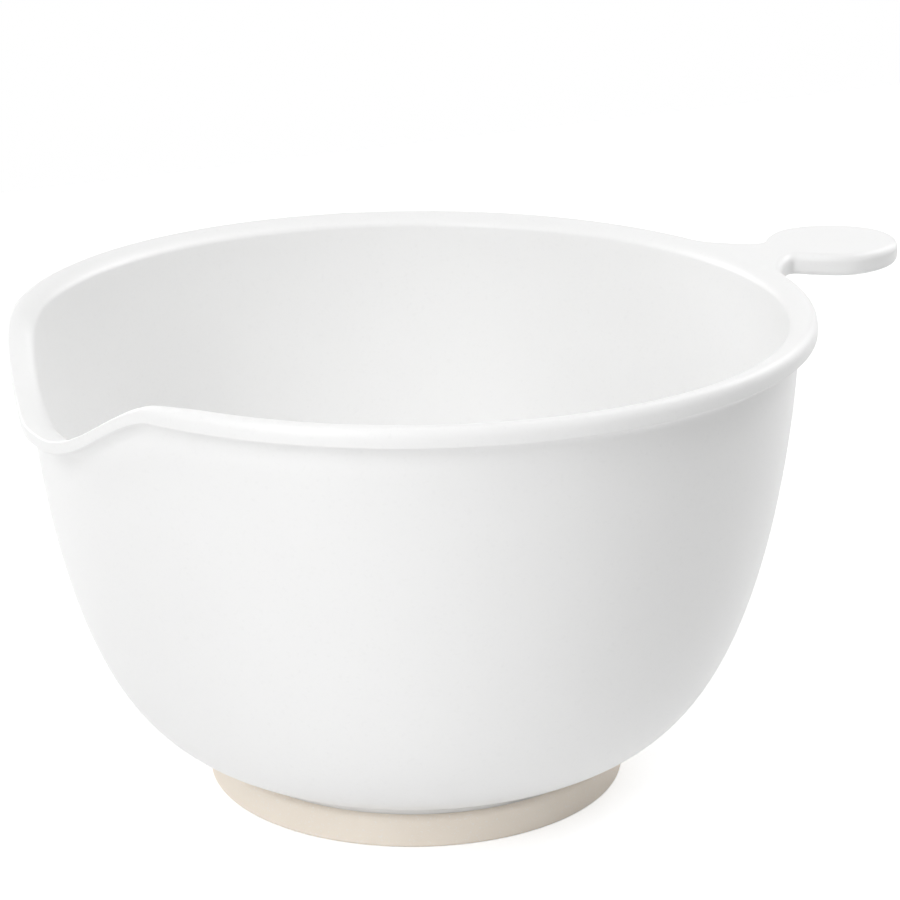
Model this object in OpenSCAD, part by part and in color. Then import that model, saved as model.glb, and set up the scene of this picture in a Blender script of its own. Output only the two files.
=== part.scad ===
// Melamine mixing bowl with a pouring spout, a tongue handle and a rubber base ring.
// The ring stands on Z = 0 and the bowl's axis is Z.
// The handle points along +X and the spout along -X, so the bowl is the same on both sides of Y = 0.

/* [Bowl] */
// Diameter across the rim, without the handle
rim_d = 242; // [190:1:300]
// Height from the table to the crown of the rim
bowl_h = 148.9; // [115:0.1:200]
// Thickness of the side wall
wall_t = 3.2; // [2.4:0.1:4.5]
// Thickness of the floor in its middle
floor_t = 3.2; // [2.4:0.1:5]
// Height of the underside of the floor above the table
floor_z = 10.6; // [10:0.1:16]
// Height at which the curve of the side would close below the floor
belly_z = 9.4; // [8:0.1:9.8]

/* [Rim] */
// How far the rim stands out from the side wall
rim_overhang = 5.3; // [3:0.1:8]
// Height of the straight edge of the rim, with its lower rounding
rim_edge_h = 2.8; // [2:0.1:6]
// Height over which the edge of the rim turns into its crown
rim_crown_h = 3.8; // [1:0.1:4.4]
// Width over which it does, from the edge to the highest line of the crown
rim_crown_w = 4; // [1:0.1:4.4]
// Rounding of the lower edge of the rim
rim_low_r = 0.7; // [0.3:0.1:1.2]
// Height over which the crown turns down into the inside wall
rim_inner_h = 4.2; // [2:0.1:6]
// Rounding between the side wall and the underside of the rim
rim_under_r = 3.8; // [0.5:0.1:4.4]

/* [Spout] */
// How far the rim dips in the middle of the spout
spout_dip = 19; // [8:0.5:28]
// Length along the rim over which it dips
spout_w = 109; // [80:1:140]
// Length along the rim of the level bottom of the dip
spout_flat_w = 9; // [0:1:40]
// Length along the rim over which its crown fades at each shoulder of the spout
spout_fade_w = 35; // [10:1:40]
// How far the lip stands out from the wall beside the middle of the spout
spout_overhang = 4.9; // [2:0.1:8]
// How much further the lip reaches in the middle of the spout
spout_reach = 2; // [0:0.1:5]
// Height of the straight edge of the lip in the spout, with its lower rounding
spout_edge_h = 3.4; // [2:0.1:5]
// Rounding of the top edge of the lip in the spout
spout_crown_r = 0.5; // [0.4:0.1:2]
// Height over which the lip turns down into the inside wall in the spout
spout_inner_h = 6.3; // [3:0.1:8]

/* [Handle] */
// Length of the handle from the rim to its tip
handle_len = 55.5; // [50:0.5:80]
// Width of the handle's broad end
handle_w = 40.8; // [32:0.2:52]
// Length of the rounded end of the handle
handle_end_len = 24.5; // [16:0.5:28]
// Width of the neck of the handle
neck_w = 19.4; // [14:0.2:26]
// Distance of the neck from the rim
neck_len = 11.5; // [9:0.5:16]
// Width of the handle's root where it leaves the rim
root_w = 50; // [36:1:60]
// Thickness of the handle
handle_t = 7.2; // [5:0.1:9]
// How far the handle's top lies below the crown of the rim
handle_drop = 0; // [0:0.1:3]
// Rounding of the handle's upper edge
handle_edge_r = 2.6; // [1:0.1:2.6]
// Rounding of the handle's lower edge
handle_low_r = 1.8; // [0.5:0.1:2.3]

/* [Foot] */
// Outer diameter of the foot
foot_d = 123; // [100:1:150]
// Thickness of the foot's wall
foot_t = 4.5; // [3:0.1:7]
// Depth of the groove that holds the base ring
groove_depth = 0.6; // [0.3:0.1:1]
// Height of the groove that holds the base ring
groove_h = 2.4; // [1.5:0.1:3]

/* [Base ring] */
// Height of the base ring
ring_h = 9.5; // [8:0.1:10]
// How much narrower the ring's band is at its top than at its foot, in radius
ring_taper = 0.5; // [0:0.1:1.2]
// Thickness of the ring's band outside the foot
ring_t = 3.1; // [2:0.1:4.5]
// Thickness of the ring's lip under the foot
ring_lip_t = 1.8; // [1:0.1:3]
// How far the ring's lip reaches in beyond the foot's wall
ring_lip_in = 1.5; // [0.5:0.1:4]
// Rounding of the ring's outer edges
ring_edge_r = 0.9; // [0.4:0.1:1.4]
// Gap between the ring's band and the foot
ring_gap = 0.05; // [0.02:0.01:0.2]

/* [Hidden] */
$fn = 180;

// Powers of the superellipse that shapes the side, and of the cosine that shapes the dip
belly_power = 1.657;
side_power = 5.37;
dip_power = 1.55;
// Power with which the reach of the lip gathers in the middle of the spout
reach_power = 6;
// Shares of the crown's height, of its width and again of its height that bend its curve,
// for the domed rim and for the round edge of the handle
dome_shares = [0.35, 0.5, 0.06];
round_shares = [0.552, 0.448, 0];
// Shares of the width and the height that bend the turn into the inside wall, plain and in the spout
rim_turn_shares = [0.55, 0.55];
spout_turn_shares = [0.74, 0.5];
// Share of the underside of the rim that its rounding may take
under_share = 0.9;
// Shares of the root's and the widening's length over which the handle's outline bends
root_bend_share = 0.36;
neck_bend_share = 0.22;
broad_bend_share = 0.55;

// Columns round the bowl: half of the handle's root, each plain side and half of the spout
root_columns = 5;
plain_columns = 32;
spout_columns = 17;
// Rows of the wall, outside and inside, rows of the floor inside, and steps of the rim's roundings
wall_rows = 14;
floor_rows = 3;
under_steps = 3;
low_steps = 2;
crown_steps = 5;
turn_steps = 5;
// Power with which the floor's rows draw together towards its middle
floor_row_power = 3;
// Stations along the handle: from the rim to the neck, to the broad place and to the tip
root_stations = 6;
widen_stations = 7;
end_stations = 9;
// Share of the widening over which the handle's thickness settles
settle_share = 0.5;

rim_r = rim_d / 2;
crease_r = rim_r - rim_overhang;
crease_z = bowl_h - rim_crown_h - rim_edge_h;
side_h = crease_z - belly_z;

function smooth(x) = (1 - cos(180 * min(1, max(0, x)))) / 2;
function mix(from, to, k) = from + (to - from) * k;
function arc(c, r, from, to, steps) =
    [for (i = [0:1:steps]) let(a = mix(from, to, i / steps)) c + r * [cos(a), sin(a)]];

function bezier(p, t) =
    pow(1 - t, 3) * p[0] + 3 * t * pow(1 - t, 2) * p[1] + 3 * t * t * (1 - t) * p[2] + pow(t, 3) * p[3];

// Crown of the rim or of the handle's edge, from the side in and up to its highest line.
// It is domed where k is 0 and round where k is 1.
function crown(w, h, k) =
    let(
        s = mix(dome_shares, round_shares, k),
        p = [[0, -h], [0, (s[0] - 1) * h], [-s[1] * w, -s[2] * h], [-w, 0]]
    )
    [for (i = [0:1:crown_steps]) bezier(p, i / crown_steps)];

// Turn from that highest line, over width w and height h, into the inside wall
function turn(w, h, s) =
    let(p = [[0, 0], [-s[0] * w, 0], [-w, (s[1] - 1) * h], [-w, -h]])
    [for (i = [1:1:turn_steps]) bezier(p, i / turn_steps)];

// Outside of the wall at angle a of the superellipse, from 0 at its bottom to 90 at the crease
function side(a) =
    [crease_r * pow(sin(a), 2 / side_power), crease_z - side_h * pow(cos(a), 2 / belly_power)];
function angle_at_depth(d) = acos(pow(d / side_h, belly_power / 2));
function angle_at_radius(r) = asin(pow(r / crease_r, side_power / 2));
floor_a = angle_at_depth(crease_z - floor_z);

// Inside of the wall, square to the outside, and thicker towards the middle of the floor.
// The outside goes on below the flat underside in name only, so the floor is a shallow dish.
slope_a = 0.5;
middle_t = floor_z + floor_t - belly_z;
function inside(a) =
    let(
        d = side(min(90, a + slope_a)) - side(max(0, a - slope_a)),
        t = mix(middle_t, wall_t, a / 90)
    )
    side(a) + t * [-d[1], d[0]] / norm(d);

// Share of the dip at azimuth q, 1 in the middle of the spout, and share by which the crown has faded
spout_half_a = spout_w / 2 / rim_r * 180 / PI;
fade_half_a = spout_fade_w / 2 / rim_r * 180 / PI;
flat_half_a = spout_flat_w / 2 / rim_r * 180 / PI;
function dip_share(q) =
    let(x = (abs(180 - q) - flat_half_a) / (spout_half_a - flat_half_a))
    pow(cos(90 * min(1, max(0, x))), dip_power);
function fade_share(q) = 1 - smooth((abs(180 - q) - spout_half_a + fade_half_a) / (2 * fade_half_a));

// Section of the shell at azimuth q, as [radius, height] from under the floor round to the inside
function section(q) =
    let(
        k = fade_share(q),
        dip = spout_dip * dip_share(q),
        overhang = mix(rim_overhang, spout_overhang, k) + spout_reach * pow(dip_share(q), reach_power),
        edge_h = mix(rim_edge_h, spout_edge_h, k),
        crown_w = mix(rim_crown_w, spout_crown_r, k),
        crown_h = mix(rim_crown_h, spout_crown_r, k),
        inner_h = mix(rim_inner_h, spout_inner_h, k),
        under_r = min(rim_under_r, under_share * (overhang - rim_low_r)),
        edge_r = side(angle_at_depth(dip))[0] + overhang,
        under_a = angle_at_depth(dip + under_r),
        low_z = crease_z - dip,
        high_z = low_z + edge_h + crown_h,
        inner_depth = max(0, inner_h - edge_h - crown_h),
        turn_w = edge_r - crown_w - inside(angle_at_depth(dip + inner_depth))[0],
        inside_a = angle_at_depth(dip + inner_depth + wall_t),
        turn_shares = mix(rim_turn_shares, spout_turn_shares, k)
    )
    concat(
        [for (i = [0:1:wall_rows - 1]) side(mix(floor_a, under_a, i / wall_rows))],
        arc([side(under_a)[0] + under_r, low_z - under_r], under_r, 180, 90, under_steps),
        arc([edge_r - rim_low_r, low_z + rim_low_r], rim_low_r, -90, 0, low_steps),
        [for (e = crown(crown_w, crown_h, k)) [edge_r, high_z] + e],
        [for (e = turn(turn_w, inner_h, turn_shares)) [edge_r - crown_w, high_z] + e],
        [for (i = [wall_rows:-1:0]) inside(mix(floor_a, inside_a, i / wall_rows))],
        [for (i = [floor_rows - 1:-1:1]) inside(floor_a * pow(i / floor_rows, floor_row_power))]
    );

// Plan of one side of the handle, as curves between its root, its neck, its broad place and its tip
root_y = root_w / 2;
root_a = asin(root_y / rim_r);
root_x = rim_r * cos(root_a);
neck_x = rim_r + neck_len;
tip_x = rim_r + handle_len;
broad_x = tip_x - handle_end_len;
neck_half = neck_w / 2;
handle_half = handle_w / 2;
root_bend = (neck_x - root_x) * root_bend_share;
neck_bend = (neck_x - root_x) * neck_bend_share;
broad_bend = (broad_x - neck_x) * broad_bend_share;
root_curve = [
    [root_x, root_y],
    [root_x + root_bend * sin(root_a), root_y - root_bend * cos(root_a)],
    [neck_x - neck_bend, neck_half],
    [neck_x, neck_half]
];
widening_curve = [
    [neck_x, neck_half],
    [neck_x + neck_bend, neck_half],
    [broad_x - broad_bend, handle_half],
    [broad_x, handle_half]
];

// Point of that outline at t, which runs from 0 at the rim, over the neck at 1
// and the broad place at 2, to the tip at 3
function handle_edge(t) =
    t < 1 ? bezier(root_curve, t) :
    t < 2 ? bezier(widening_curve, t - 1) :
    let(a = 90 * (min(3, t) - 2)) [broad_x + handle_end_len * sin(a), handle_half * cos(a)];
edge_step = 0.01;
function handle_out(t) =
    t > 3 - edge_step ? [1, 0] :
    let(d = handle_edge(t + edge_step) - handle_edge(max(0, t - edge_step))) [-d[1], d[0]] / norm(d);

// Edge of the handle at t: the rim's edge section, settling to the handle's own thickness
function handle_settle(t) = smooth(t / (1 + settle_share));
function handle_top(t) = bowl_h - handle_drop * handle_settle(t);
function handle_side(t, mirrored = false) =
    let(
        k = handle_settle(t),
        p = handle_edge(t),
        n = handle_out(t),
        top = handle_top(t),
        low_r = mix(rim_low_r, handle_low_r, k),
        low = mix(crease_z, bowl_h - handle_drop - handle_t, k),
        edge = crown(mix(rim_crown_w, handle_edge_r, k), mix(rim_crown_h, handle_edge_r, k), k),
        y = mirrored ? -1 : 1
    )
    [for (e = concat(arc([-low_r, low + low_r], low_r, -90, 0, low_steps), [for (c = edge) [0, top] + c]))
        [p[0] + n[0] * e[0], y * (p[1] + n[1] * e[0]), e[1]]];

// Azimuths of the columns, closer together in the handle's root and in the spout
spout_a = 180 - spout_half_a - fade_half_a;
azimuths = [
    for (i = [-root_columns:1:root_columns - 1]) root_a * i / root_columns,
    for (i = [0:1:plain_columns - 1]) mix(root_a, spout_a, i / plain_columns),
    for (i = [-spout_columns:1:spout_columns - 1]) 180 + (180 - spout_a) * i / spout_columns,
    for (i = [0:1:plain_columns - 1]) 360 + mix(-spout_a, -root_a, i / plain_columns)
];
columns = len(azimuths);
sections = [for (q = azimuths) section(q)];
rows = len(sections[0]);
low_row = wall_rows + 1 + under_steps;
crown_row = low_row + low_steps + 1 + crown_steps;

// A ring of points for each row, then the middle of the underside and of the floor
shell_points = [
    for (j = [0:1:rows - 1], i = [0:1:columns - 1])
        let(q = azimuths[i], p = sections[i][j]) [p[0] * cos(q), p[0] * sin(q), p[1]],
    [0, 0, floor_z],
    [0, 0, floor_z + floor_t]
];
function at(j, i) = j * columns + (i + columns) % columns;
shell_faces = [
    for (j = [0:1:rows - 2], i = [0:1:columns - 1])
        if (i >= 2 * root_columns || j < low_row || j >= crown_row)
            each [[at(j, i), at(j + 1, i), at(j + 1, i + 1)], [at(j, i), at(j + 1, i + 1), at(j, i + 1)]],
    for (i = [0:1:columns - 1])
        each [
            [rows * columns, at(0, i), at(0, i + 1)],
            [rows * columns + 1, at(rows - 1, i + 1), at(rows - 1, i)]
        ]
];

// Loops round the handle: up the +Y edge, across the top, down the -Y edge and back underneath.
// The first loop is the opening that the shell leaves in the rim.
left_column = 2 * root_columns;
edge_rows = crown_row - low_row + 1;
across = 2 * root_columns - 1;
loop_len = 2 * (edge_rows + across);
first_loop = [
    for (j = [low_row:1:crown_row]) at(j, left_column),
    for (i = [1:1:across]) at(crown_row, left_column - i),
    for (j = [crown_row:-1:low_row]) at(j, 0),
    for (i = [1:1:across]) at(low_row, i)
];

// Points across the handle between its two edges, bowed like the rim near the root
function across_points(t, row, from, to) =
    let(
        p = handle_side(t)[row],
        r = sections[0][row + low_row][0],
        bow = max(0, 1 - (p[0] - r * cos(root_a)) / (neck_x - r * cos(root_a)))
    )
    [for (i = [1:1:across])
        let(q = root_a * mix(from, to, i / (across + 1)))
        [p[0] + bow * r * (cos(q) - cos(root_a)), p[1] * sin(q) / sin(root_a), p[2]]];
function handle_loop(t) =
    let(left = handle_side(t), right = handle_side(t, true))
    concat(
        left,
        across_points(t, edge_rows - 1, 1, -1),
        [for (j = [edge_rows - 1:-1:0]) right[j]],
        across_points(t, 0, -1, 1)
    );
stations = concat(
    [for (i = [1:1:root_stations]) i / root_stations],
    [for (i = [1:1:widen_stations]) 1 + i / widen_stations],
    [for (i = [1:1:end_stations - 1]) 2 + i / end_stations]
);
handle_points = concat([for (t = stations) each handle_loop(t)], handle_side(3));
loops = len(stations) + 1;
function on_loop(l, m) =
    l == 0 ? first_loop[m % loop_len] : len(shell_points) + (l - 1) * loop_len + m % loop_len;
function at_tip(j) = len(shell_points) + (loops - 1) * loop_len + j;
handle_faces = [
    for (l = [0:1:loops - 2], m = [0:1:loop_len - 1])
        each [
            [on_loop(l + 1, m), on_loop(l + 1, m + 1), on_loop(l, m + 1)],
            [on_loop(l + 1, m), on_loop(l, m + 1), on_loop(l, m)]
        ],
    for (j = [0:1:edge_rows - 2])
        let(right = edge_rows + across + edge_rows - 1 - j)
        each [
            [at_tip(j), at_tip(j + 1), on_loop(loops - 1, j + 1)],
            [at_tip(j), on_loop(loops - 1, j + 1), on_loop(loops - 1, j)],
            [on_loop(loops - 1, right), on_loop(loops - 1, right - 1), at_tip(j + 1)],
            [on_loop(loops - 1, right), at_tip(j + 1), at_tip(j)]
        ],
    for (m = [0:1:across])
        each [
            [at_tip(edge_rows - 1), on_loop(loops - 1, edge_rows + m), on_loop(loops - 1, edge_rows - 1 + m)],
            [at_tip(0), on_loop(loops - 1, loop_len - m), on_loop(loops - 1, loop_len - 1 - m)]
        ]
];

// Foot: a turned wall under the floor, with the groove that keeps the base ring on
foot_r = foot_d / 2;
foot_top = side(angle_at_radius(foot_r))[1] + wall_t / 2;
groove_z = (ring_lip_t + ring_h) / 2;
module foot() {
    rotate_extrude()
        polygon([
            [foot_r - foot_t, ring_lip_t],
            [foot_r, ring_lip_t],
            [foot_r, groove_z - groove_h / 2],
            [foot_r - groove_depth, groove_z - groove_h / 2 + groove_depth],
            [foot_r - groove_depth, groove_z + groove_h / 2 - groove_depth],
            [foot_r, groove_z + groove_h / 2],
            [foot_r, foot_top],
            [foot_r - foot_t, foot_top]
        ]);
}

// The bowl is one moulding: side, rim, spout, handle and foot
module bowl() {
    color("white") {
        polyhedron(concat(shell_points, handle_points), concat(shell_faces, handle_faces), convexity = 6);
        foot();
    }
}

// The base ring is stretched over the foot: a band outside it and a lip under it
ring_r = foot_r + ring_t;
ring_top_r = ring_r - ring_taper;
ring_steps = 5;
module base_ring() {
    bore = foot_r + ring_gap;
    color([0.92, 0.88, 0.83])
        rotate_extrude()
            polygon(concat(
                [
                    [foot_r - foot_t - ring_lip_in, ring_lip_t],
                    [foot_r - foot_t - ring_lip_in, 0]
                ],
                arc([ring_r - ring_edge_r, ring_edge_r], ring_edge_r, -90, 0, ring_steps),
                arc([ring_top_r - ring_edge_r, ring_h - ring_edge_r], ring_edge_r, 0, 90, ring_steps),
                [
                    [bore, ring_h],
                    [bore, groove_z + groove_h / 2],
                    [bore - groove_depth, groove_z + groove_h / 2 - groove_depth],
                    [bore - groove_depth, groove_z - groove_h / 2 + groove_depth],
                    [bore, groove_z - groove_h / 2],
                    [bore, ring_lip_t]
                ]
            ));
}

bowl();
base_ring();
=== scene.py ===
"""Looks of a white melamine mixing bowl with a pouring spout, a tongue handle and a rubber base ring.

Lengths are in metres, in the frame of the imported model: the ring stands on Z = 0, the bowl's axis is Z,
the handle points along +X and the spout along -X.
"""

import math

import bpy
from mathutils import Matrix, Vector


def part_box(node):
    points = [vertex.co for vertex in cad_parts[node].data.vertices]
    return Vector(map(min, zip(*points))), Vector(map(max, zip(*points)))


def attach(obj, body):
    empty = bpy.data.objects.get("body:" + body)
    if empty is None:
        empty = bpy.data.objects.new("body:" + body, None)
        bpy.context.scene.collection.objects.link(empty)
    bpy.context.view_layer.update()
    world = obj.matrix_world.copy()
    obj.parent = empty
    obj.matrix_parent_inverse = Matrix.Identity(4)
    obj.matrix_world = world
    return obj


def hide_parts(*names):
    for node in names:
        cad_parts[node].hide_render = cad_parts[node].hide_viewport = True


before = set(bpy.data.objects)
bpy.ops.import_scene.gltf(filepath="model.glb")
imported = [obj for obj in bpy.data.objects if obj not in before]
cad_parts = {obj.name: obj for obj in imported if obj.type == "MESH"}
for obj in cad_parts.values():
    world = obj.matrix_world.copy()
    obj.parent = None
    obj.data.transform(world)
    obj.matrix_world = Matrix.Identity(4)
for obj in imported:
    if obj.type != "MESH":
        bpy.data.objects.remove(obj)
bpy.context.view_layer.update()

MM = 0.001

# Bowl, with its rim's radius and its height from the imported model
RIM_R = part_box("bowl")[1].y
BOWL_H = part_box("bowl")[1].z
WALL_T = 3.2 * MM
FLOOR_T = 3.2 * MM
FLOOR_Z = 10.6 * MM
BELLY_Z = 9.4 * MM
BELLY_POWER = 1.657
SIDE_POWER = 5.37

# Rim. Its highest line lies RIM_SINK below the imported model's, and the rounding under it takes at most
# UNDER_SHARE of the overhang.
RIM_OVERHANG = 5.3 * MM
RIM_SINK = 0.7 * MM
RIM_EDGE_H = 2.6 * MM
RIM_CROWN_H = 3.4 * MM
RIM_CROWN_W = 2.4 * MM
RIM_LOW_R = 0.7 * MM
RIM_INNER_H = 4.2 * MM
RIM_UNDER_R = 3.8 * MM
UNDER_SHARE = 0.9

# Spout, which dips and reaches out along powers of its share of the rim
SPOUT_DIP = 19 * MM
SPOUT_W = 109 * MM
SPOUT_FLAT_W = 9 * MM
SPOUT_FADE_W = 35 * MM
SPOUT_OVERHANG = 4.9 * MM
SPOUT_REACH = 2 * MM
SPOUT_EDGE_H = 3.4 * MM
SPOUT_CROWN_R = 0.5 * MM
SPOUT_INNER_H = 6.3 * MM
DIP_POWER = 1.55
REACH_POWER = 6

# Shares that bend the crown, and its turn into the inside wall
CROWN_SHARES = (0.552, 0.448)
RIM_TURN_SHARES = (0.15, 0.6)
SPOUT_TURN_SHARES = (0.74, 0.5)

# Handle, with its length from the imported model. Shares of lengths bend its outline and settle its section.
HANDLE_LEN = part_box("bowl")[1].x - RIM_R
HANDLE_W = 40.8 * MM
HANDLE_END_LEN = 24.5 * MM
NECK_W = 19.4 * MM
NECK_LEN = 11.5 * MM
ROOT_W = 50 * MM
HANDLE_T = 7.2 * MM
HANDLE_EDGE_R = 2.6 * MM
HANDLE_LOW_R = 1.8 * MM
ROOT_BEND_SHARE = 0.36
NECK_BEND_SHARE = 0.22
BROAD_BEND_SHARE = 0.55
SETTLE_SHARE = 0.5

# Foot, with its roundings and a groove that holds the base ring
FOOT_R = 61.5 * MM
FOOT_T = 4.5 * MM
FOOT_FILLET_R = 0.6 * MM
FOOT_RECESS_R = 1 * MM
FOOT_LOW_IN_R = 0.5 * MM
FOOT_LOW_OUT_R = 0.4 * MM
GROOVE_DEPTH = 0.6 * MM
GROOVE_H = 2.4 * MM
GROOVE_EDGE_R = 0.15 * MM

# Base ring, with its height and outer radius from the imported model
RING_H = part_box("base_ring")[1].z
RING_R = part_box("base_ring")[1].y
RING_TAPER = 0.5 * MM
RING_LIP_T = 1.8 * MM
RING_LIP_IN = 1.5 * MM
RING_LOW_R = 0.9 * MM
RING_TOP_R = 1.7 * MM
RING_SMALL_R = 0.35 * MM
RING_GAP = 0.05 * MM

# Height of the middle of the groove and of the ring's bead
GROOVE_Z = (RING_LIP_T + RING_H) / 2

# Mesh density: columns of half the handle's root and of all of it, of a plain side and of half the spout
ROOT_COLUMNS = 12
ROOT_SPAN = 2 * ROOT_COLUMNS
PLAIN_COLUMNS = 72
SPOUT_COLUMNS = 48
WALL_ROWS = 44
FLOOR_ROWS = 10
FLOOR_ROW_POWER = 3
FILLET_STEPS = 3
UNDER_STEPS = 8
LOW_STEPS = 5
CROWN_STEPS = 12
TURN_STEPS = 12
ROOT_STATIONS = 16
WIDEN_STATIONS = 20
END_STATIONS = 24
RING_COLUMNS = 288

# Steps over which the direction of a curve is measured: degrees of the side, and the handle's outline
SIDE_STEP = 0.2
EDGE_STEP = 0.005

# Camera: how far the handle points behind the picture's right, the camera's distance and height, its aim in
# radians, and its lens and sensor in millimetres
HANDLE_BEHIND = math.radians(28)
CAMERA_OUT = 0.8276
CAMERA_UP = 0.3771
CAMERA_YAW = 0.0134
CAMERA_PITCH = 0.3209
CAMERA_ROLL = 0.0053
CAMERA_LENS = 114.4
CAMERA_SENSOR = 36

# Lamps: their size, their distance from the bowl and the height that they are aimed at
LAMP_SIZE = 0.9
LAMP_FAR = 1.6
LAMP_AIM_UP = 0.08

# Each lamp's name, its degrees from the camera's side to the picture's right, its degrees up and its watts
LAMPS = [
    ("key", -30, 35, 10.3),
    ("low key", -25, 8, 5.7),
    ("fill", 30, 30, 1.8),
    ("top", 0, 75, 6.3),
    ("top right", 90, 60, 4.2),
    ("back left", -125, 25, 10.4),
    ("back right", 125, 35, 7.6),
    ("low back right", 125, 15, 3.8),
]

# Floor: half of its width, its shade, and how much white the background's rays see added to it
FLOOR_HALF_W = 0.8
FLOOR_SHADE = 0.84
FLOOR_WHITE = 0.45


def smooth(x):
    """From 0 at x = 0 to 1 at x = 1, level at both ends and beyond them."""
    return (1 - math.cos(math.pi * min(1, max(0, x)))) / 2


def mix(start, end, share):
    """A value between two others."""
    return start + (end - start) * share


def arc(centre, radius, start, end, steps):
    """Points of an arc in a section's plane, with its angles in degrees."""
    turns = [math.radians(mix(start, end, i / steps)) for i in range(steps + 1)]
    return [(centre[0] + radius * math.cos(t), centre[1] + radius * math.sin(t)) for t in turns]


def rounded(corners, steps):
    """The points of an open outline of (x, y, radius) corners, each rounded to its radius."""
    points = []
    for i, (x, y, radius) in enumerate(corners):
        corner = Vector((x, y))
        if radius == 0 or i in (0, len(corners) - 1):
            points.append((x, y))
            continue
        before = (Vector(corners[i - 1][:2]) - corner).normalized()
        after = (Vector(corners[i + 1][:2]) - corner).normalized()
        half = before.angle(after) / 2
        start = corner + before * radius / math.tan(half)
        end = corner + after * radius / math.tan(half)
        centre = corner + (before + after).normalized() * radius / math.sin(half)
        turn = (start - centre).angle_signed(end - centre)
        for k in range(steps + 1):
            spoke = start - centre
            spoke.rotate(Matrix.Rotation(-turn * k / steps, 2))
            points.append(tuple(centre + spoke))
    return points


# Side of the bowl: a superellipse from the bottom of its belly, at angle 0, to the rim's underside, at 90
CREASE_R = RIM_R - RIM_OVERHANG
RIM_TOP = BOWL_H - RIM_SINK
CREASE_Z = RIM_TOP - RIM_CROWN_H - RIM_EDGE_H
SIDE_H = CREASE_Z - BELLY_Z


def side(angle):
    """Radius and height of the outer face at an angle in degrees."""
    turn = math.radians(angle)
    out = CREASE_R * math.sin(turn) ** (2 / SIDE_POWER)
    return out, CREASE_Z - SIDE_H * max(0, math.cos(turn)) ** (2 / BELLY_POWER)


def angle_at_depth(depth):
    """Angle of the side at a depth below the rim's underside."""
    return math.degrees(math.acos((depth / SIDE_H) ** (BELLY_POWER / 2)))


def angle_at_radius(radius):
    """Angle of the side at a radius."""
    return math.degrees(math.asin((radius / CREASE_R) ** (SIDE_POWER / 2)))


FLOOR_ANGLE = angle_at_depth(CREASE_Z - FLOOR_Z)
MIDDLE_T = FLOOR_Z + FLOOR_T - BELLY_Z


def inside(angle):
    """The inner face, square to the outside and thicker towards the middle of the floor."""
    low, high = side(max(0, angle - SIDE_STEP)), side(min(90, angle + SIDE_STEP))
    along = Vector((high[0] - low[0], high[1] - low[1])).normalized()
    thickness = mix(MIDDLE_T, WALL_T, angle / 90)
    out, up = side(angle)
    return out - along.y * thickness, up + along.x * thickness


def half_angle(width):
    """Half of a width along the rim, as an angle in degrees."""
    return math.degrees(width / 2 / RIM_R)


def dip_share(azimuth):
    """Share of the spout's dip: 1 in its flat middle, 0 past its ends."""
    x = (abs(180 - azimuth) - half_angle(SPOUT_FLAT_W)) / (half_angle(SPOUT_W) - half_angle(SPOUT_FLAT_W))
    return max(0, math.cos(math.pi / 2 * min(1, max(0, x)))) ** DIP_POWER


def fade_share(azimuth):
    """Share of the spout's thin lip in the rim: 1 at the spout, 0 at the plain rim."""
    fade = half_angle(SPOUT_FADE_W)
    return 1 - smooth((abs(180 - azimuth) - half_angle(SPOUT_W) + fade) / (2 * fade))


def foot_rows():
    """Section of the underside and the foot, from the axis out and up to the side."""
    top = side(angle_at_radius(FOOT_R + FOOT_FILLET_R))
    corners = [
        (FOOT_R / 3, FLOOR_Z, 0),
        (FOOT_R * 2 / 3, FLOOR_Z, 0),
        (FOOT_R - FOOT_T, FLOOR_Z, FOOT_RECESS_R),
        (FOOT_R - FOOT_T, RING_LIP_T, FOOT_LOW_IN_R),
        (FOOT_R, RING_LIP_T, FOOT_LOW_OUT_R),
        (FOOT_R, GROOVE_Z - GROOVE_H / 2, GROOVE_EDGE_R),
        (FOOT_R - GROOVE_DEPTH, GROOVE_Z - GROOVE_H / 2 + GROOVE_DEPTH, GROOVE_EDGE_R),
        (FOOT_R - GROOVE_DEPTH, GROOVE_Z + GROOVE_H / 2 - GROOVE_DEPTH, GROOVE_EDGE_R),
        (FOOT_R, GROOVE_Z + GROOVE_H / 2, GROOVE_EDGE_R),
        (FOOT_R, side(angle_at_radius(FOOT_R))[1], FOOT_FILLET_R),
        (top[0] + FOOT_FILLET_R, side(angle_at_radius(top[0] + FOOT_FILLET_R))[1], 0),
    ]
    return rounded(corners, FILLET_STEPS)


FOOT_ROWS = foot_rows()


def bezier(points, t):
    """A point of a cubic curve between the first and the last of four points."""
    p, q, r, s = (Vector(point) for point in points)
    return p * (1 - t) ** 3 + q * 3 * t * (1 - t) ** 2 + r * 3 * t * t * (1 - t) + s * t ** 3


def crown(start, width, height):
    """Crown of the rim or of the handle, from its side, in and up to its highest line."""
    steep, flat = CROWN_SHARES
    out, up = start
    top = up + height
    curve = [start, (out, up + steep * height), (out - flat * width, top), (out - width, top)]
    return [bezier(curve, i / CROWN_STEPS) for i in range(CROWN_STEPS + 1)]


def inner_turn(start, width, height, faded):
    """Turn from the crown's highest line down into the inside wall."""
    flat, steep = (mix(a, b, faded) for a, b in zip(RIM_TURN_SHARES, SPOUT_TURN_SHARES))
    out, up = start
    low = up - height
    curve = [start, (out - flat * width, up), (out - width, low + steep * height), (out - width, low)]
    return [bezier(curve, i / TURN_STEPS) for i in range(1, TURN_STEPS + 1)]


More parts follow.
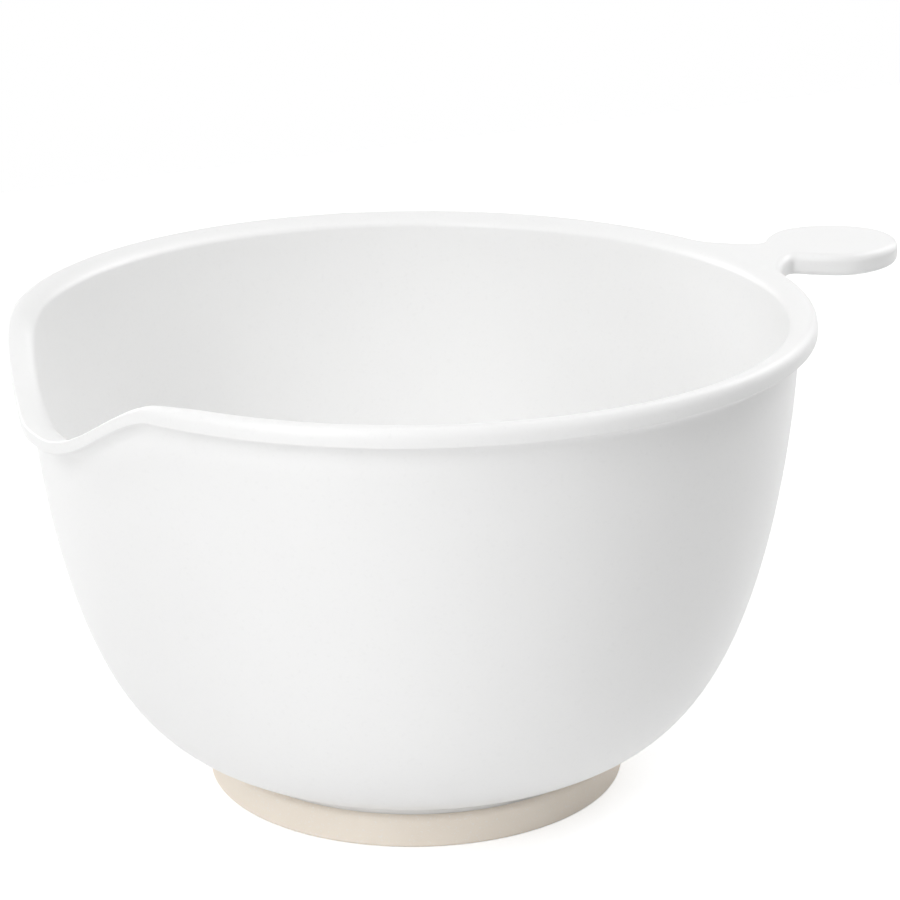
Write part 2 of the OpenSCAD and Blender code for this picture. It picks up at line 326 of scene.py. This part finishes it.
def section(azimuth):
    """Section of the bowl at an azimuth, from the underside round the rim to the floor."""
    faded = fade_share(azimuth)
    dip = SPOUT_DIP * dip_share(azimuth)
    overhang = mix(RIM_OVERHANG, SPOUT_OVERHANG, faded) + SPOUT_REACH * dip_share(azimuth) ** REACH_POWER
    edge_h = mix(RIM_EDGE_H, SPOUT_EDGE_H, faded)
    crown_w = mix(RIM_CROWN_W, SPOUT_CROWN_R, faded)
    crown_h = mix(RIM_CROWN_H, SPOUT_CROWN_R, faded)
    inner_h = mix(RIM_INNER_H, SPOUT_INNER_H, faded)
    under_r = min(RIM_UNDER_R, UNDER_SHARE * (overhang - RIM_LOW_R))
    under_angle = angle_at_depth(dip + under_r)
    edge_r = side(angle_at_depth(dip))[0] + overhang
    low_z = CREASE_Z - dip
    inner_depth = max(0, inner_h - edge_h - crown_h)
    inner_w = edge_r - crown_w - inside(angle_at_depth(dip + inner_depth))[0]
    inside_angle = angle_at_depth(dip + inner_depth + WALL_T)
    first = angle_at_radius(FOOT_ROWS[-1][0])
    outer = [side(mix(first, under_angle, i / WALL_ROWS)) for i in range(1, WALL_ROWS + 1)]
    under = arc((outer[-1][0] + under_r, low_z - under_r), under_r, 180, 90, UNDER_STEPS)[1:]
    low = arc((edge_r - RIM_LOW_R, low_z + RIM_LOW_R), RIM_LOW_R, -90, 0, LOW_STEPS)
    top = crown((edge_r, low_z + edge_h), crown_w, crown_h)
    inner = inner_turn(top[-1], inner_w, inner_h, faded)
    inner_wall = [inside(mix(FLOOR_ANGLE, inside_angle, i / WALL_ROWS)) for i in range(WALL_ROWS, -1, -1)]
    floor = [inside(FLOOR_ANGLE * (i / FLOOR_ROWS) ** FLOOR_ROW_POWER) for i in range(FLOOR_ROWS - 1, 0, -1)]
    return FOOT_ROWS + outer + under + low + top + inner + inner_wall + floor


# Rows of a section at the rim's low edge and at its highest line, and how many rows they span
LOW_ROW = len(FOOT_ROWS) + WALL_ROWS + UNDER_STEPS
CROWN_ROW = LOW_ROW + LOW_STEPS + 1 + CROWN_STEPS
EDGE_ROWS = CROWN_ROW - LOW_ROW + 1

# Plan of one side of the handle
ROOT_ANGLE = math.degrees(math.asin(ROOT_W / 2 / RIM_R))
ROOT_X = RIM_R * math.cos(math.radians(ROOT_ANGLE))
NECK_X = RIM_R + NECK_LEN
BROAD_X = RIM_R + HANDLE_LEN - HANDLE_END_LEN


def handle_edge(t):
    """Outline of the handle at t: 0 at the rim, 1 at the neck, 2 at the broad place and 3 at the tip."""
    turn = math.radians(ROOT_ANGLE)
    bend = (NECK_X - ROOT_X) * ROOT_BEND_SHARE
    neck_bend = (NECK_X - ROOT_X) * NECK_BEND_SHARE
    neck, broad = (NECK_X, NECK_W / 2), (BROAD_X, HANDLE_W / 2)
    if t < 1:
        leave = (ROOT_X + bend * math.sin(turn), ROOT_W / 2 - bend * math.cos(turn))
        return bezier([(ROOT_X, ROOT_W / 2), leave, (NECK_X - neck_bend, NECK_W / 2), neck], t)
    if t < 2:
        broad_bend = (BROAD_X - NECK_X) * BROAD_BEND_SHARE
        after_neck, before_broad = (NECK_X + neck_bend, NECK_W / 2), (BROAD_X - broad_bend, HANDLE_W / 2)
        return bezier([neck, after_neck, before_broad, broad], t - 1)
    end = math.pi / 2 * (min(3, t) - 2)
    return Vector((BROAD_X + HANDLE_END_LEN * math.sin(end), HANDLE_W / 2 * math.cos(end)))


def handle_out(t):
    """Direction square to the outline at t."""
    if t > 3 - EDGE_STEP:
        return Vector((1, 0))
    along = (handle_edge(t + EDGE_STEP) - handle_edge(max(0, t - EDGE_STEP))).normalized()
    return Vector((-along.y, along.x))


def handle_side(t, mirror=1):
    """Edge of the handle at t, from its underside to its top."""
    settled = smooth(t / (1 + SETTLE_SHARE))
    low_r = mix(RIM_LOW_R, HANDLE_LOW_R, settled)
    low_z = mix(CREASE_Z, BOWL_H - HANDLE_T, settled)
    edge_w, edge_h = mix(RIM_CROWN_W, HANDLE_EDGE_R, settled), mix(RIM_CROWN_H, HANDLE_EDGE_R, settled)
    profile = arc((-low_r, low_z + low_r), low_r, -90, 0, LOW_STEPS)
    profile += crown((0, mix(RIM_TOP, BOWL_H, settled) - edge_h), edge_w, edge_h)
    place, out = handle_edge(t), handle_out(t)
    return [(place.x + out.x * e, mirror * (place.y + out.y * e), z) for e, z in profile]


def across_points(t, row, row_r, start, end):
    """Points between the handle's two edges in one row, bowed like the rim near the root."""
    x, y, z = handle_side(t)[row]
    root = math.radians(ROOT_ANGLE)
    flat_x = row_r * math.cos(root)
    bow = max(0, 1 - (x - flat_x) / (NECK_X - flat_x))
    points = []
    for i in range(1, ROOT_SPAN):
        turn = root * mix(start, end, i / ROOT_SPAN)
        bowed_x = x + bow * row_r * (math.cos(turn) - math.cos(root))
        points.append((bowed_x, y * math.sin(turn) / math.sin(root), z))
    return points


def bowl_azimuths():
    """Azimuths of the skin's columns: the handle's root, a plain side, the spout and the other side."""
    spout = 180 - half_angle(SPOUT_W) - half_angle(SPOUT_FADE_W)
    plain = [mix(ROOT_ANGLE, spout, i / PLAIN_COLUMNS) for i in range(PLAIN_COLUMNS)]
    root = [ROOT_ANGLE * i / ROOT_COLUMNS for i in range(-ROOT_COLUMNS, ROOT_COLUMNS)]
    dip = [180 + (180 - spout) * i / SPOUT_COLUMNS for i in range(-SPOUT_COLUMNS, SPOUT_COLUMNS)]
    back = [360 + mix(-spout, -ROOT_ANGLE, i / PLAIN_COLUMNS) for i in range(PLAIN_COLUMNS)]
    return root + plain + dip + back


def grow_handle(points, faces, loop, top_r, low_r):
    """Add the handle: loops from the one round its root in the rim, joined one to the next up to the tip."""
    stations = [i / ROOT_STATIONS for i in range(1, ROOT_STATIONS + 1)]
    stations += [1 + i / WIDEN_STATIONS for i in range(1, WIDEN_STATIONS + 1)]
    stations += [2 + i / END_STATIONS for i in range(1, END_STATIONS)]
    for t in stations:
        left, right = handle_side(t), handle_side(t, -1)
        ring = left + across_points(t, EDGE_ROWS - 1, top_r, 1, -1)
        ring += right[::-1] + across_points(t, 0, low_r, -1, 1)
        new_loop = list(range(len(points), len(points) + len(ring)))
        points += ring
        for m in range(len(ring)):
            n = (m + 1) % len(ring)
            faces.append((loop[m], loop[n], new_loop[n], new_loop[m]))
        loop = new_loop

    tip = list(range(len(points), len(points) + EDGE_ROWS))
    points += handle_side(3)
    left = loop[:EDGE_ROWS]
    right = loop[EDGE_ROWS + ROOT_SPAN - 1:2 * EDGE_ROWS + ROOT_SPAN - 1][::-1]
    for j in range(EDGE_ROWS - 1):
        faces.append((left[j], left[j + 1], tip[j + 1], tip[j]))
        faces.append((right[j + 1], right[j], tip[j], tip[j + 1]))
    over = loop[EDGE_ROWS - 1:EDGE_ROWS + ROOT_SPAN]
    under = loop[2 * EDGE_ROWS + ROOT_SPAN - 2:] + loop[:1]
    faces += [(over[i], over[i + 1], tip[-1]) for i in range(len(over) - 1)]
    faces += [(under[i], under[i + 1], tip[0]) for i in range(len(under) - 1)]


def bowl_mesh():
    """One closed skin: underside, foot, side, rim, spout and inside, with the handle grown from the rim."""
    azimuths = bowl_azimuths()
    sections = [section(q) for q in azimuths]
    columns, rows = len(azimuths), len(sections[0])
    points = []
    for row in range(rows):
        for azimuth, profile in zip(azimuths, sections):
            turn = math.radians(azimuth)
            out, up = profile[row]
            points.append((out * math.cos(turn), out * math.sin(turn), up))
    points.append((0, 0, FLOOR_Z))
    points.append((0, 0, FLOOR_Z + FLOOR_T))
    middle_below, middle_above = rows * columns, rows * columns + 1

    def at(row, column):
        return row * columns + column % columns

    faces = []
    for row in range(rows - 1):
        for column in range(columns):
            if column < ROOT_SPAN and LOW_ROW <= row < CROWN_ROW:
                continue
            faces.append((at(row, column), at(row, column + 1), at(row + 1, column + 1), at(row + 1, column)))
    for column in range(columns):
        faces.append((middle_below, at(0, column + 1), at(0, column)))
        faces.append((middle_above, at(rows - 1, column), at(rows - 1, column + 1)))

    loop = [at(row, ROOT_SPAN) for row in range(LOW_ROW, CROWN_ROW + 1)]
    loop += [at(CROWN_ROW, ROOT_SPAN - i) for i in range(1, ROOT_SPAN)]
    loop += [at(row, 0) for row in range(CROWN_ROW, LOW_ROW - 1, -1)]
    loop += [at(LOW_ROW, i) for i in range(1, ROOT_SPAN)]
    grow_handle(points, faces, loop, sections[0][CROWN_ROW][0], sections[0][LOW_ROW][0])
    return points, faces


def ring_mesh():
    """The base ring: its band outside the foot, its lip below it, and the bead in the foot's groove."""
    bore = FOOT_R + RING_GAP
    lip_in = FOOT_R - FOOT_T - RING_LIP_IN
    corners = [
        (lip_in, RING_LIP_T / 2, 0),
        (lip_in, 0, RING_SMALL_R),
        (RING_R, 0, RING_LOW_R),
        (RING_R - RING_TAPER, RING_H, RING_TOP_R),
        (bore, RING_H, RING_SMALL_R),
        (bore, GROOVE_Z + GROOVE_H / 2, 0),
        (bore - GROOVE_DEPTH, GROOVE_Z + GROOVE_H / 2 - GROOVE_DEPTH, 0),
        (bore - GROOVE_DEPTH, GROOVE_Z - GROOVE_H / 2 + GROOVE_DEPTH, 0),
        (bore, GROOVE_Z - GROOVE_H / 2, 0),
        (bore, RING_LIP_T, 0),
        (lip_in, RING_LIP_T, RING_SMALL_R),
        (lip_in, RING_LIP_T / 2, 0),
    ]
    profile = rounded(corners, 2 * FILLET_STEPS)[:-1]
    count = len(profile)
    points = []
    faces = []
    for column in range(RING_COLUMNS):
        turn = 2 * math.pi * column / RING_COLUMNS
        points += [(x * math.cos(turn), x * math.sin(turn), z) for x, z in profile]
        here, there = column * count, (column + 1) % RING_COLUMNS * count
        for j in range(count):
            k = (j + 1) % count
            faces.append((here + j, there + j, there + k, here + k))
    return points, faces


def make_piece(name, mesh_data, material, node):
    """A smooth piece that stands for a node and rides on the part."""
    points, faces = mesh_data
    mesh = bpy.data.meshes.new(name)
    mesh.from_pydata(points, [], faces)
    mesh.update()
    mesh.polygons.foreach_set("use_smooth", [True] * len(mesh.polygons))
    mesh.materials.append(material)
    piece = bpy.data.objects.new(name, mesh)
    bpy.context.scene.collection.objects.link(piece)
    normals = piece.modifiers.new("weighted normals", "WEIGHTED_NORMAL")
    normals.keep_sharp = True
    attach(piece, "root")
    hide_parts(node)
    return piece


class Nodes:
    """A material's node tree, with short calls to add and join nodes."""

    def __init__(self, name):
        self.material = bpy.data.materials.new(name)
        self.material.use_nodes = True
        self.tree = self.material.node_tree
        self.shader = self.tree.nodes["Principled BSDF"]
        self.place = self.add("ShaderNodeTexCoord").outputs["Object"]

    def add(self, kind, **values):
        node = self.tree.nodes.new(kind)
        for name, value in values.items():
            setattr(node, name, value)
        return node

    def join(self, output, socket):
        self.tree.links.new(output, socket)

    def noise(self, scale, detail=2, stretch=(1, 1, 1)):
        """Value of a noise whose features are about 1 / scale metres wide."""
        mapping = self.add("ShaderNodeMapping")
        mapping.inputs["Scale"].default_value = stretch
        self.join(self.place, mapping.inputs["Vector"])
        noise = self.add("ShaderNodeTexNoise")
        noise.inputs["Scale"].default_value = scale
        noise.inputs["Detail"].default_value = detail
        self.join(mapping.outputs["Vector"], noise.inputs["Vector"])
        return noise.outputs["Fac"]

    def band(self, value, low, high, to_low, to_high):
        """A value's range from low to high, spread over another range."""
        node = self.add("ShaderNodeMapRange")
        self.join(value, node.inputs["Value"])
        for name, number in (("From Min", low), ("From Max", high), ("To Min", to_low), ("To Max", to_high)):
            node.inputs[name].default_value = number
        return node.outputs["Result"]

    def blend(self, share, first, second):
        node = self.add("ShaderNodeMix", data_type="RGBA")
        self.join(share, node.inputs["Factor"])
        for name, colour in (("A", first), ("B", second)):
            socket = [s for s in node.inputs if s.name == name and s.type == "RGBA"][0]
            if isinstance(colour, tuple):
                socket.default_value = colour + (1,)
            else:
                self.join(colour, socket)
        return [s for s in node.outputs if s.type == "RGBA"][0]

    def add_values(self, first, second):
        node = self.add("ShaderNodeMath", operation="ADD")
        self.join(first, node.inputs[0])
        self.join(second, node.inputs[1])
        return node.outputs["Value"]

    def bump(self, height, distance, strength=1, under=None):
        node = self.add("ShaderNodeBump")
        node.inputs["Distance"].default_value = distance
        node.inputs["Strength"].default_value = strength
        self.join(height, node.inputs["Height"])
        if under:
            self.join(under, node.inputs["Normal"])
        return node.outputs["Normal"]


def melamine():
    """White moulded melamine: a soft gloss over faint mottling, a fine skin and hairline marks."""
    nodes = Nodes("white melamine")
    cloud = nodes.band(nodes.noise(22, 1), 0.2, 0.8, 0, 1)
    speck = nodes.band(nodes.noise(900, 1), 0.60, 0.75, 0, 1)
    body = nodes.blend(cloud, (0.906, 0.906, 0.903), (0.914, 0.914, 0.911))
    nodes.join(nodes.blend(speck, body, (0.892, 0.892, 0.889)), nodes.shader.inputs["Base Color"])
    hairline = nodes.band(nodes.noise(160, 2, (1, 1, 14)), 0.62, 0.78, 0, 0.04)
    sheen = nodes.band(nodes.noise(45, 1), 0.2, 0.8, 0.38, 0.42)
    nodes.join(nodes.add_values(sheen, hairline), nodes.shader.inputs["Roughness"])
    skin = nodes.bump(nodes.noise(260, 2), 0.02 * MM)
    nodes.join(nodes.bump(nodes.noise(2200, 1), 0.004 * MM, 0.6, skin), nodes.shader.inputs["Normal"])
    nodes.shader.inputs["IOR"].default_value = 1.5
    return nodes.material


def silicone():
    """Cream silicone rubber: matte, with a dusty cast and a fine grain."""
    nodes = Nodes("cream silicone")
    cloud = nodes.band(nodes.noise(60, 4), 0.35, 0.65, 0, 1)
    dust = nodes.band(nodes.noise(1400, 2), 0.58, 0.72, 0, 1)
    body = nodes.blend(cloud, (0.932, 0.846, 0.740), (0.948, 0.866, 0.762))
    nodes.join(nodes.blend(dust, body, (0.950, 0.896, 0.830)), nodes.shader.inputs["Base Color"])
    nodes.join(nodes.band(nodes.noise(300, 3), 0.3, 0.7, 0.58, 0.70), nodes.shader.inputs["Roughness"])
    nodes.join(nodes.bump(nodes.noise(1800, 3), 0.03 * MM), nodes.shader.inputs["Normal"])
    nodes.shader.inputs["IOR"].default_value = 1.42
    return nodes.material


def studio_turn():
    """Turn from the picture's own directions, X right and Y away, to the bowl's frame."""
    return Matrix.Rotation(-HANDLE_BEHIND, 4, "Z")


def make_camera():
    data = bpy.data.cameras.new("camera")
    data.lens = CAMERA_LENS
    data.sensor_width = CAMERA_SENSOR
    camera = bpy.data.objects.new("camera", data)
    bpy.context.scene.collection.objects.link(camera)
    aim = Matrix.Rotation(-CAMERA_YAW, 4, "Z") @ Matrix.Rotation(math.pi / 2 - CAMERA_PITCH, 4, "X")
    place = Matrix.Translation((0, -CAMERA_OUT, CAMERA_UP))
    camera.matrix_world = studio_turn() @ place @ aim @ Matrix.Rotation(-CAMERA_ROLL, 4, "Z")
    bpy.context.scene.camera = camera


def make_lamp(name, azimuth, elevation, power):
    """A square soft lamp, placed as LAMPS says and aimed at the bowl."""
    data = bpy.data.lights.new(name, "AREA")
    data.size = LAMP_SIZE
    data.energy = power
    lamp = bpy.data.objects.new(name, data)
    bpy.context.scene.collection.objects.link(lamp)
    turn, rise = math.radians(azimuth), math.radians(elevation)
    out = Vector((math.cos(rise) * math.sin(turn), -math.cos(rise) * math.cos(turn), math.sin(rise)))
    place = LAMP_FAR * out + Vector((0, 0, LAMP_AIM_UP))
    aim = (-out).to_track_quat("-Z", "Y").to_matrix().to_4x4()
    lamp.matrix_world = studio_turn() @ Matrix.Translation(place) @ aim


def white_rays(tree):
    """1 for rays that show the white background: the camera's, reflected ones and those seen through."""
    path = tree.nodes.new("ShaderNodeLightPath")
    seen = path.outputs["Is Camera Ray"]
    for ray in ("Is Glossy Ray", "Is Transmission Ray"):
        either = tree.nodes.new("ShaderNodeMath")
        either.operation = "MAXIMUM"
        tree.links.new(seen, either.inputs[0])
        tree.links.new(path.outputs[ray], either.inputs[1])
        seen = either.outputs["Value"]
    return seen


def make_floor():
    """A white floor that shows white and still takes the bowl's shadow."""
    w = FLOOR_HALF_W
    mesh = bpy.data.meshes.new("floor")
    mesh.from_pydata([(-w, -w, 0), (w, -w, 0), (w, w, 0), (-w, w, 0)], [], [(0, 1, 2, 3)])
    floor = bpy.data.objects.new("floor", mesh)
    bpy.context.scene.collection.objects.link(floor)
    nodes = Nodes("floor")
    nodes.shader.inputs["Base Color"].default_value = (FLOOR_SHADE, FLOOR_SHADE, FLOOR_SHADE, 1)
    nodes.shader.inputs["Roughness"].default_value = 0.9
    white = nodes.add("ShaderNodeEmission")
    nodes.join(nodes.band(white_rays(nodes.tree), 0, 1, 0, FLOOR_WHITE), white.inputs["Strength"])
    both = nodes.add("ShaderNodeAddShader")
    nodes.join(nodes.shader.outputs["BSDF"], both.inputs[0])
    nodes.join(white.outputs["Emission"], both.inputs[1])
    nodes.join(both.outputs["Shader"], nodes.tree.nodes["Material Output"].inputs["Surface"])
    mesh.materials.append(nodes.material)


def make_world():
    """A world that is white in the picture and in reflections, and lights nothing."""
    world = bpy.data.worlds.new("studio")
    bpy.context.scene.world = world
    world.use_nodes = True
    tree = world.node_tree
    back = tree.nodes["Background"]
    back.inputs["Color"].default_value = (1, 1, 1, 1)
    tree.links.new(white_rays(tree), back.inputs["Strength"])


make_camera()
make_piece("melamine_bowl", bowl_mesh(), melamine(), "bowl")
make_piece("silicone_ring", ring_mesh(), silicone(), "base_ring")
make_floor()
make_world()
for lamp in LAMPS:
    make_lamp(*lamp)
bpy.context.scene.view_settings.view_transform = "Standard"
